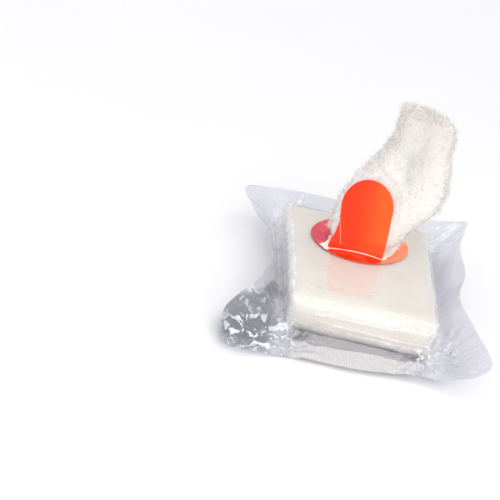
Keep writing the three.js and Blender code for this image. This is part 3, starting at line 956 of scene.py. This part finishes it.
def fibres_on(obj, name, settings):
    """A mesh of loose fibres that stand on an object's faces."""
    rng = random.Random(FIBRE_SEED)
    faces = list(obj.data.polygons)
    chances = [f.area * fibre_weight(f.center, f.normal) for f in faces]
    points = []
    sides = []
    for face in rng.choices(faces, chances, k=settings.fibre_count):
        normal = face.normal.copy()
        jitter = Vector([rng.gauss(0, 1) for _ in range(3)])
        way = (0.7 * normal + 0.8 * jitter).normalized()
        if way.dot(normal) < 0.1:
            way = (way + normal).normalized()
        side = way.orthogonal().normalized()
        bend = Vector([rng.gauss(0, 0.8) for _ in range(3)]) - normal * 0.4
        length = settings.fibre_length * rng.uniform(0.35, 1.4)
        root = Vector(face.center) - normal * 0.15 * MM
        fibre(points, sides, root, way, side, length, settings.fibre_width * rng.uniform(0.7, 1.2), bend)
    return new_mesh_object(name, points, sides)


class GAUZE_OT_tail(Operator):
    """Models the strip's free end, with its loose fibres"""

    bl_idname = "gauze_pouch.tail"
    bl_label = "Free end"

    def execute(self, context):
        settings = context.scene.pouch_gauze
        obj = node_copy("gauze_tail", "gauze_free_end")
        to_quads(obj)
        apply_modifier(obj, "SUBSURF", levels=REFINEMENT, render_levels=REFINEMENT)
        ends = [v.co.copy() for v in obj.data.vertices if v.co.z > TAIL_TOP - 8 * MM]
        low = min(p.x for p in ends)
        high = max(p.x for p in ends)
        middle = sum(p.y for p in ends) / len(ends)
        move_points(
            obj, lambda place, normal: cut_end(tail_shape(settings, place, normal), low, high, middle)
        )
        smooth(obj)
        material = gauze_material("loose gauze", settings, settings.thread_pitch * 1.4, 1.0)
        finish_piece(obj, "gauze", material, "gauze_tail")

        fuzz = fibres_on(obj, "free_end_fibres", settings)
        smooth(fuzz)
        fuzz.visible_shadow = False
        finish_piece(fuzz, "gauze", fibre_material(settings))
        return {"FINISHED"}


# The pouch


# Block corners in plan, anticlockwise from the front left, and how much the film crumples at each
CORNERS = [
    (slipped_block(Vector((east * BLOCK_WIDTH / 2, north * BLOCK_DEPTH / 2, 0))), share)
    for east, north, share in ((-1, -1, 1.0), (1, -1, 0.75), (1, 1, 0.45), (-1, 1, 0.5))
]

# Folds that spread in the front pockets: where they meet, their number, the distances from there at which
# they are full and at which they end, and their share of the usual slope
FANS = (
    (Vector((-28.5 * MM, -58 * MM, 0)), 15, 14 * MM, 24 * MM, 1),
    (Vector((31 * MM, -50 * MM, 0)), 17, 8 * MM, 20 * MM, 0.6),
)

# Height and tilt of the two long creases in front, and their half width in millimetres
FRONT_CREASES = (
    (7.5 * MM, -0.02),
    (10.5 * MM, 0.03),
)
FRONT_CREASE_HALF = 0.55


def fan(place, centre, count, full, end):
    """Height of flat folds that spread from a centre: they grow up to full, and end at end."""
    away = in_plan(place, centre)
    reach = away.length
    if reach >= end:
        return 0
    turn = math.atan2(away.y, away.x) / (2 * math.pi) * count
    turn += 0.9 * noise.noise(Vector((math.cos(turn), math.sin(turn), 0.4)) * 2 + away * 30)
    fold = abs(turn % 1 - 0.5) * 2 - 0.5
    return fold * min(reach, full) * (1 - ramp(reach, full, end))


def corner_crumple(place, corner):
    """Height, in shares, of the crumples that spread from one of the block's corners."""
    away = in_plan(place, corner)
    reach = away.length
    near = ramp(reach, 0.5 * MM, 6 * MM) * (1 - ramp(reach, 12 * MM, 27 * MM))
    if near <= 0:
        return 0
    flat = Vector((place.x, place.y, 0))
    angle = math.atan2(away.y, away.x)
    rays = ridge(Vector((math.cos(angle) * 9 * MM, math.sin(angle) * 9 * MM, reach * 0.12)), 3.2 * MM) ** 2
    shift = Vector((noise.noise(flat * 150), noise.noise(flat * 150 + UP), 0)) * 2 * MM
    broken = facets(flat + shift, 5.5 * MM)
    return near * (0.6 * rays + 0.9 * broken - 0.6)


def film_height(settings, place):
    """How far the film stands off its smooth surface at a point."""
    square = square_block(place)
    outside = past_block(square)
    flange = ramp(outside, 0.5 * MM, 6 * MM)
    # Creases over the block: long ones along the front, finer ones on its top
    front = ramp(-square.y, BLOCK_DEPTH / 2 - 8 * MM, BLOCK_DEPTH / 2 - 3 * MM)
    front *= 1 - ramp(outside, 3 * MM, 7 * MM)
    drawn = Vector((place.x * 0.12, place.y * 0.8, place.z + place.x * 0.03))
    fine = ridge(drawn, 2.6 * MM) ** 2 + 0.2 * ridge(drawn + Vector((1, 0, 0)), 1.3 * MM)
    height = settings.crease * front * fine
    for level, tilt in FRONT_CREASES:
        wave = 0.8 * MM * noise.noise(Vector((place.x * 40, level * 900, 0)))
        line = (place.z - level - tilt * place.x - wave) / MM
        height += settings.crease * 1.6 * front * math.exp(-(line / FRONT_CREASE_HALF) ** 2)
    skewed = Vector((place.x * 0.35 + place.y * 0.2, place.y, 0))
    from_label = (place.xy - LABEL_CENTRE.xy).length
    off_label = ramp(from_label, LABEL_RADIUS, LABEL_RADIUS + 3 * MM)
    height += settings.crease * (1 - flange) * (1 - front) * 0.8 * ridge(skewed, 9 * MM) ** 3 * off_label
    # Waves and folds of the flanges
    height += flange * 1.1 * MM * noise.noise(Vector((place.x, place.y, 0)) * 62)
    for centre, count, full, end, share in FANS:
        height += flange * fan(place, centre, count, full, end) * settings.fan_slope * share
    for corner, share in CORNERS:
        height += settings.crumple * share * corner_crumple(place, corner) * (0.35 + 0.65 * flange)
    return height


def film_web(settings, node, name, seed, way, roll_radius):
    """One web of film: the outer skin of its node, refined, wrinkled and given a thin wall."""
    obj = node_copy(node, name)
    if keep_skin(obj, seed, UP * way, SKIN_ANGLE) < LEAST_SKIN:
        raise RuntimeError(f"{node}'s outer skin wasn't found")
    to_quads(obj)
    apply_modifier(obj, "SUBSURF", levels=REFINEMENT, render_levels=REFINEMENT)
    reach = BLOCK_DEPTH / 2 + FILM_GAP
    top = LABEL_LOW.z - FILM_DROP

    def wrinkled(place, normal):
        """Where a point of the smooth skin lies on the wrinkled one."""
        outside = past_block(square_block(place))
        drawn = place - normal * settings.draw_in * ramp(outside, 1 * MM, 5 * MM)
        if way > 0 and outside < 2.5 * MM:
            share = 1 - ramp(outside, 1.2 * MM, 2.5 * MM)
            edge = faceted(rolled(drawn, reach, top, roll_radius), reach, top, roll_radius)
            drawn = drawn.lerp(edge, share)
        height = film_height(settings, drawn)
        if way < 0:
            height *= ramp(outside, 0.5 * MM, 4 * MM)
        moved = drawn + normal * way * height
        moved.z = max(moved.z, 0.02 * MM)
        return moved

    move_points(obj, wrinkled)
    apply_modifier(obj, "SOLIDIFY", thickness=settings.thickness, offset=-1)
    smooth(obj)
    return obj


class GAUZE_OT_upper_film(Operator):
    """Models the upper web of the pouch, drawn over the block"""

    bl_idname = "gauze_pouch.upper_film"
    bl_label = "Upper film"

    def execute(self, context):
        settings = context.scene.pouch_film
        seed = Vector((0, -30 * MM, LABEL_LOW.z))
        roll_radius = context.scene.pouch_gauze.roll_radius
        obj = film_web(settings, "pouch_top_film", "upper_film", seed, 1, roll_radius)
        finish_piece(obj, "film", film_material("clear film", settings, False), "pouch_top_film")
        return {"FINISHED"}


class GAUZE_OT_lower_film(Operator):
    """Models the lower web of the pouch, flat under the block"""

    bl_idname = "gauze_pouch.lower_film"
    bl_label = "Lower film"

    def execute(self, context):
        settings = context.scene.pouch_film
        obj = film_web(settings, "pouch_base_film", "lower_film", Vector((0, 0, 0)), -1, 0)
        finish_piece(obj, "film", film_material("film with shade panel", settings, True), "pouch_base_film")
        return {"FINISHED"}


# The label and its tongue


# Torn white core beside the opening, in millimetres of the label's plane: along, inner and outer edge
TORN_STEP = 0.25
TORN_THICKNESS = 0.12 * MM
TORN_LEFT = [
    (-16.4, -9.9, -11.2),
    (-15.0, -10.0, -12.8),
    (-13.6, -10.6, -13.8),
    (-12.0, -10.9, -13.4),
    (-10.3, -10.9, -12.5),
    (-8.0, -10.9, -11.9),
    (-2.0, -10.9, -11.7),
    (5.0, -10.9, -12.3),
]
TORN_RIGHT = [
    (-13.2, 10.9, 11.7),
    (-11.0, 10.9, 12.4),
    (-8.0, 10.9, 13.4),
    (-5.0, 10.9, 14.4),
    (-1.0, 10.9, 15.1),
    (6.0, 10.9, 15.5),
]

# Outline of the tongue, a row for each place along it: length from the fold, left and right edge, as shares
# of its length and of half its width
TONGUE_ROWS = [
    (0.0, -1.0, 1.0),
    (0.1, -0.96, 1.0),
    (0.22, -0.85, 1.01),
    (0.36, -0.8, 1.0),
    (0.5, -0.84, 0.98),
    (0.62, -0.88, 0.97),
]
TONGUE_COLUMNS = 24
TONGUE_STEPS = 90
TONGUE_BOW = 0.9 * MM

# The pale marks on the tongue: how far they stand off it, half their widths, their thickness, and where the
# row of perforations starts and ends, as places across and along the tongue
MARK_GAP = 0.05 * MM
MARK_THICKNESS = 0.06 * MM
CREASE_HALF = 0.3 * MM
PERFORATION_HALF = 0.1 * MM
PERFORATIONS = 9
PERFORATION_START = Vector((-0.8 * TONGUE_HALF, 12.5 * MM))
PERFORATION_END = Vector((-0.56 * TONGUE_HALF, 2.2 * MM))


def tongue_hole(count):
    """The tongue-shaped hole's outline in the label's plane, from its front left corner round the back."""
    centre = TIP_Y - TONGUE_HALF
    points = [Vector((-TONGUE_HALF, HINGE_Y + (centre - HINGE_Y) * i / count, 0)) for i in range(count)]
    for i in range(count + 1):
        angle = math.pi - math.pi * i / count
        points.append(Vector((TONGUE_HALF * math.cos(angle), centre + TONGUE_HALF * math.sin(angle), 0)))
    points += [Vector((TONGUE_HALF, centre + (HINGE_Y - centre) * (i + 1) / count, 0)) for i in range(count)]
    return points


class GAUZE_OT_label(Operator):
    """Models the round label with its torn opening"""

    bl_idname = "gauze_pouch.label"
    bl_label = "Label"

    def execute(self, context):
        settings = context.scene.pouch_label
        deselect_all()
        bpy.ops.mesh.primitive_circle_add(vertices=LABEL_CORNERS, radius=LABEL_RADIUS, fill_type="NOTHING")
        obj = context.object
        obj.name = "label_ring"
        hole = tongue_hole(HOLE_STEPS)
        for point in hole:
            torn = 0.35 * MM * noise.noise(point * 700) + 0.5 * MM * noise.noise(point * 260)
            if point.y > HINGE_Y + 0.5 * MM:
                point.x += math.copysign(abs(torn) * 1.5, point.x)
        bm = bmesh.new()
        bm.from_mesh(obj.data)
        ring = [bm.verts.new(point) for point in hole]
        for vertex, after in zip(ring, ring[1:] + ring[:1]):
            bm.edges.new((vertex, after))
        bmesh.ops.triangle_fill(bm, use_beauty=True, edges=bm.edges[:])
        bmesh.ops.subdivide_edges(bm, edges=[e for e in bm.edges if e.calc_length() > 2 * MM], cuts=2)
        bmesh.ops.triangulate(bm, faces=[f for f in bm.faces if len(f.verts) > 4])
        for vertex in bm.verts:
            rim = ramp(vertex.co.length, LABEL_RADIUS - 2 * MM, LABEL_RADIUS)
            vertex.co.z = LABEL_BASE + 0.05 * MM * noise.noise(vertex.co * 220) - 0.02 * MM * rim
        bm.to_mesh(obj.data)
        bm.free()
        obj.data.transform(LABEL_PLACE)
        recalculate(obj)
        apply_modifier(obj, "SOLIDIFY", thickness=settings.thickness, offset=1)
        smooth(obj, LABEL_EDGE_ANGLE)
        finish_piece(obj, "label", label_material(settings), "opening_label")
        self.torn_edges(settings)
        return {"FINISHED"}

    def torn_edges(self, settings):
        """Ragged strips of the label's white core along both sides of the opening."""
        points = []
        faces = []
        for rows in (TORN_LEFT, TORN_RIGHT):
            start = len(points)
            steps = int((rows[-1][0] - rows[0][0]) / TORN_STEP)
            for i in range(steps + 1):
                along = rows[0][0] + i * TORN_STEP
                before, after = next((a, b) for a, b in zip(rows, rows[1:]) if along <= b[0] + TORN_STEP)
                share = (along - before[0]) / (after[0] - before[0])
                inner = before[1] + (after[1] - before[1]) * share
                outer = before[2] + (after[2] - before[2]) * share
                here = Vector((inner, along, 0))
                way = math.copysign(1, outer - inner)
                outer += way * (0.7 * noise.noise(here * 520 * MM) + 0.5 * noise.noise(here * 1700 * MM))
                lift = 0.3 * noise.noise(here * 500 * MM + UP)
                middle = inner * 0.45 + outer * 0.55
                for across, height in ((inner, 0.06), (middle, 0.16 + lift), (outer, 0.04)):
                    place = Vector((across, along, 0)) * MM
                    place.z = LABEL_BASE + settings.thickness + height * MM
                    points.append(LABEL_PLACE @ place)
            for i in range(steps):
                for j in range(2):
                    a = start + 3 * i + j
                    faces.append((a, a + 1, a + 4, a + 3))
        torn = new_mesh_object("torn_label_core", points, faces)
        recalculate(torn)
        apply_modifier(torn, "SOLIDIFY", thickness=TORN_THICKNESS, offset=0)
        smooth(torn, EDGE_ANGLE)
        finish_piece(torn, "label", core_material(settings))


def tongue_edges(share):
    """Left and right edge of the tongue at a share of its length, with a round tip."""
    last, last_left, last_right = TONGUE_ROWS[-1]
    if share >= last:
        past = (share - last) / (1 - last)
        reach = math.sqrt(max(1 - past * past, 0.0004))
        middle = (last_left + last_right) / 2
        half = (last_right - last_left) / 2
        return middle - half * reach, middle + half * reach
    for a, b in zip(TONGUE_ROWS, TONGUE_ROWS[1:]):
        if share <= b[0]:
            t = (share - a[0]) / (b[0] - a[0])
            return a[1] + (b[1] - a[1]) * t, a[2] + (b[2] - a[2]) * t
    raise ValueError(share)


def tongue_point(across, length, lift=0.0):
    """A point of the bent tongue: across from its middle, length from its fold, and lift off its front."""
    bend_length = TONGUE_BEND * TONGUE_TURN
    angle = min(max(length, 0) / TONGUE_BEND, TONGUE_TURN)
    straight = max(length - bend_length, 0)
    y = HINGE_Y + 0.3 * MM + min(length, 0) + TONGUE_BEND * math.sin(angle) + straight * math.cos(TONGUE_TURN)
    z = LABEL_BASE + 0.16 * MM + TONGUE_BEND * (1 - math.cos(angle)) + straight * math.sin(TONGUE_TURN)
    off = lift + TONGUE_BOW * (across / TONGUE_HALF) ** 2 * ramp(length, 2 * MM, 14 * MM)
    return LABEL_PLACE @ Vector((across, y + off * math.sin(angle), z - off * math.cos(angle)))


def strip(name, line, half_width, lift):
    """A thin strip on the tongue's front along a line of (across, length) places."""
    points = []
    faces = []
    for i, (across, length) in enumerate(line):
        after = line[min(i + 1, len(line) - 1)]
        before = line[max(i - 1, 0)]
        way = Vector((after[0] - before[0], after[1] - before[1])).normalized()
        for side in (-half_width, half_width):
            points.append(tongue_point(across - way.y * side, length + way.x * side, lift))
    for i in range(len(line) - 1):
        faces.append((2 * i, 2 * i + 1, 2 * i + 3, 2 * i + 2))
    return new_mesh_object(name, points, faces)


class GAUZE_OT_tongue(Operator):
    """Models the torn-up tongue, its pale crease and its row of perforations"""

    bl_idname = "gauze_pouch.tongue"
    bl_label = "Tongue"

    def execute(self, context):
        settings = context.scene.pouch_label
        deselect_all()
        bpy.ops.mesh.primitive_grid_add(x_subdivisions=TONGUE_COLUMNS, y_subdivisions=TONGUE_STEPS, size=1)
        obj = context.object
        obj.name = "label_tongue"
        for vertex in obj.data.vertices:
            across = vertex.co.x + 0.5
            share = math.sin((vertex.co.y + 0.5) * math.pi / 2)
            left, right = tongue_edges(share)
            vertex.co = tongue_point((left + (right - left) * across) * TONGUE_HALF, share * TONGUE_LENGTH)
        recalculate(obj)
        apply_modifier(obj, "SOLIDIFY", thickness=settings.thickness, offset=0)
        smooth(obj, EDGE_ANGLE)
        finish_piece(obj, "tongue", tongue_material(settings), "pull_tab")

        pale = core_material(settings)
        lift = -settings.thickness / 2 - MARK_GAP
        for line in (self.crease(lift), self.perforations(lift)):
            recalculate(line)
            apply_modifier(line, "SOLIDIFY", thickness=MARK_THICKNESS, offset=0)
            finish_piece(line, "tongue", pale)
        return {"FINISHED"}

    def crease(self, lift):
        """The pale line where the tongue is folded up: whitened film at the fold, and partly a painted
        highlight along its bend.
        """
        shares = [i / 20 - 1 for i in range(41)]
        line = [(0.97 * TONGUE_HALF * u, (0.5 + 1.0 * u - 1.9 * u * u) * MM) for u in shares]
        return strip("tongue_crease", line, CREASE_HALF, lift)

    def perforations(self, lift):
        """A row of short pale marks along the tongue's left side."""
        marks = []
        for i in range(PERFORATIONS):
            start = PERFORATION_START.lerp(PERFORATION_END, i / PERFORATIONS)
            end = PERFORATION_START.lerp(PERFORATION_END, (i + 0.5) / PERFORATIONS)
            line = [tuple(start), tuple(start.lerp(end, 0.5)), tuple(end)]
            marks.append(strip(f"mark_{i}", line, PERFORATION_HALF, lift))
        make_active(marks[0])
        for mark in marks:
            mark.select_set(True)
        bpy.ops.object.join()
        marks[0].name = "tongue_perforations"
        return marks[0]


# The stage


# The key light: the way to it, the angle that it fills, and its colour
KEY_WAY = Vector((0.55, 0.45, 0.9))
KEY_ANGLE = math.radians(24)
KEY_COLOUR = (1, 0.98, 0.94)

# Lamps: name, place, width and height, and power in watts. Each is aimed at the same place over the block.
LAMPS = (
    ("fill", (0.3, -0.85, 0.55), (0.9, 0.6), 3.5),
    ("front_strip", (0.06, -0.7, 0.71), (0.08, 0.06), 0.5),
    ("low_strip", (-0.12, -0.93, 0.27), (0.5, 0.03), 0.9),
    ("top_strip", (0.0, -0.35, 0.9), (0.4, 0.05), 0.3),
    ("back_window", (-0.35, 0.75, 0.56), (0.4, 0.25), 0.5),
    ("left_strip", (-0.75, 0.3, 0.6), (0.05, 0.3), 0.12),
    ("right_strip", (0.85, -0.1, 0.5), (0.02, 0.4), 0.3),
)
LAMP_AIM = Vector((0, 0, 20 * MM))
FLOOR_SIZE = 8

# The camera: size and focal length of its square picture in points, the place that it looks at and where it
# sees that place, right of and above the picture's middle, and the width of its sensor in millimetres
PICTURE_SIZE = 500
PICTURE_FOCAL = 1277.5
TARGET = Vector((0, 0, 17 * MM))
TARGET_SEEN = Vector((111, -7))
SENSOR_WIDTH = 36


def facing_matrix(way):
    """The turn of a light that stands this way from what it lights."""
    return way.to_track_quat("Z", "Y").to_matrix().to_4x4()


class GAUZE_OT_stage(Operator):
    """Sets the floor, the light and the camera"""

    bl_idname = "gauze_pouch.stage"
    bl_label = "Stage"

    def execute(self, context):
        settings = context.scene.pouch_stage
        scene = context.scene
        scene.view_settings.view_transform = "Standard"
        self.add_floor(context, settings)
        world = bpy.data.worlds.new("studio")
        scene.world = world
        world.use_nodes = True
        background = world.node_tree.nodes["Background"]
        background.inputs["Color"].default_value = (*settings.sky, 1)
        background.inputs["Strength"].default_value = settings.sky_strength
        self.add_lights(context, settings)
        self.add_camera(scene, settings)
        return {"FINISHED"}

    def add_floor(self, context, settings):
        """A large floor with a faint mottle."""
        deselect_all()
        bpy.ops.mesh.primitive_plane_add(size=FLOOR_SIZE, location=(0, 0, 0))
        floor = context.object
        floor.name = "floor"
        material, tree, shader, place = new_material("pale floor")
        tone = range_node(tree, noise_node(tree, place, 9.0), 0.3, 0.7, 0.0, 0.04)
        colour = mix_colour(tree, tone, settings.floor_colour, WHITE)
        feed_all(tree, shader, {"Base Color": colour, "Roughness": 0.9, "Specular IOR Level": 0.1})
        arrange(tree)
        floor.data.materials.append(material)

    def add_lights(self, context, settings):
        """The key light and the lamps."""
        sun = bpy.data.objects.new("key_light", bpy.data.lights.new("key_light", "SUN"))
        sun.data.energy = settings.key_strength
        sun.data.angle = KEY_ANGLE
        sun.data.color = KEY_COLOUR
        sun.matrix_world = facing_matrix(KEY_WAY)
        context.collection.objects.link(sun)
        for name, place, (wide, high), energy in LAMPS:
            lamp = bpy.data.objects.new(name, bpy.data.lights.new(name, "AREA"))
            lamp.data.shape = "RECTANGLE"
            lamp.data.size = wide
            lamp.data.size_y = high
            lamp.data.energy = energy
            lamp.matrix_world = Matrix.Translation(place) @ facing_matrix(Vector(place) - LAMP_AIM)
            context.collection.objects.link(lamp)

    def add_camera(self, scene, settings):
        """A camera that sees its target at the right place in the picture."""
        azimuth, elevation, roll = settings.azimuth, settings.elevation, settings.roll
        level = math.cos(elevation)
        back = Vector((math.sin(azimuth) * level, -math.cos(azimuth) * level, math.sin(elevation)))
        right = Vector((math.cos(azimuth), math.sin(azimuth), 0))
        up = back.cross(right)
        rolled_right = right * math.cos(roll) + up * math.sin(roll)
        rolled_up = up * math.cos(roll) - right * math.sin(roll)
        aside = rolled_right * TARGET_SEEN.x / PICTURE_FOCAL
        forward = (-back - aside - rolled_up * TARGET_SEEN.y / PICTURE_FOCAL).normalized()
        side = (rolled_right - forward * rolled_right.dot(forward)).normalized()
        top = side.cross(forward)
        data = bpy.data.cameras.new("photo_camera")
        data.sensor_width = SENSOR_WIDTH
        data.lens = SENSOR_WIDTH * PICTURE_FOCAL / PICTURE_SIZE
        data.clip_start = 0.01
        camera = bpy.data.objects.new("photo_camera", data)
        matrix = Matrix((side, top, -forward)).transposed().to_4x4()
        matrix.translation = TARGET + back * settings.distance
        camera.matrix_world = matrix
        scene.collection.objects.link(camera)
        scene.camera = camera


class GAUZE_PT_panel(Panel):
    """Lists the steps that build the gauze pouch"""

    bl_label = "Gauze pouch"
    bl_idname = "GAUZE_PT_panel"
    bl_space_type = "VIEW_3D"
    bl_region_type = "UI"
    bl_category = "Gauze pouch"

    def draw(self, context):
        scene = context.scene
        for title, settings, steps in (
            ("Gauze", scene.pouch_gauze, (GAUZE_OT_block, GAUZE_OT_tail)),
            ("Film", scene.pouch_film, (GAUZE_OT_upper_film, GAUZE_OT_lower_film)),
            ("Label", scene.pouch_label, (GAUZE_OT_label, GAUZE_OT_tongue)),
            ("Stage", scene.pouch_stage, (GAUZE_OT_stage,)),
        ):
            box = self.layout.box()
            box.label(text=title)
            for name in settings.bl_rna.properties.keys():
                if name not in ("rna_type", "name"):
                    box.prop(settings, name)
            for step in steps:
                box.operator(step.bl_idname)


SETTINGS = (
    ("pouch_gauze", GauzeSettings),
    ("pouch_film", FilmSettings),
    ("pouch_label", LabelSettings),
    ("pouch_stage", StageSettings),
)
STEPS = (
    GAUZE_OT_stage,
    GAUZE_OT_block,
    GAUZE_OT_tail,
    GAUZE_OT_upper_film,
    GAUZE_OT_lower_film,
    GAUZE_OT_label,
    GAUZE_OT_tongue,
)


def register():
    """Registers the settings, the steps and the panel."""
    for name, group in SETTINGS:
        bpy.utils.register_class(group)
        setattr(bpy.types.Scene, name, PointerProperty(type=group))
    for step in STEPS:
        bpy.utils.register_class(step)
    bpy.utils.register_class(GAUZE_PT_panel)


def unregister():
    """Takes the panel, the steps and the settings away again."""
    bpy.utils.unregister_class(GAUZE_PT_panel)
    for step in reversed(STEPS):
        bpy.utils.unregister_class(step)
    for name, group in reversed(SETTINGS):
        delattr(bpy.types.Scene, name)
        bpy.utils.unregister_class(group)


def main():
    """Builds every piece and the stage."""
    register()
    for step in STEPS:
        group, name = step.bl_idname.split(".")
        if getattr(getattr(bpy.ops, group), name)() != {"FINISHED"}:
            raise RuntimeError(f"{step.bl_label} wasn't finished")


if __name__ == "__main__":
    main()
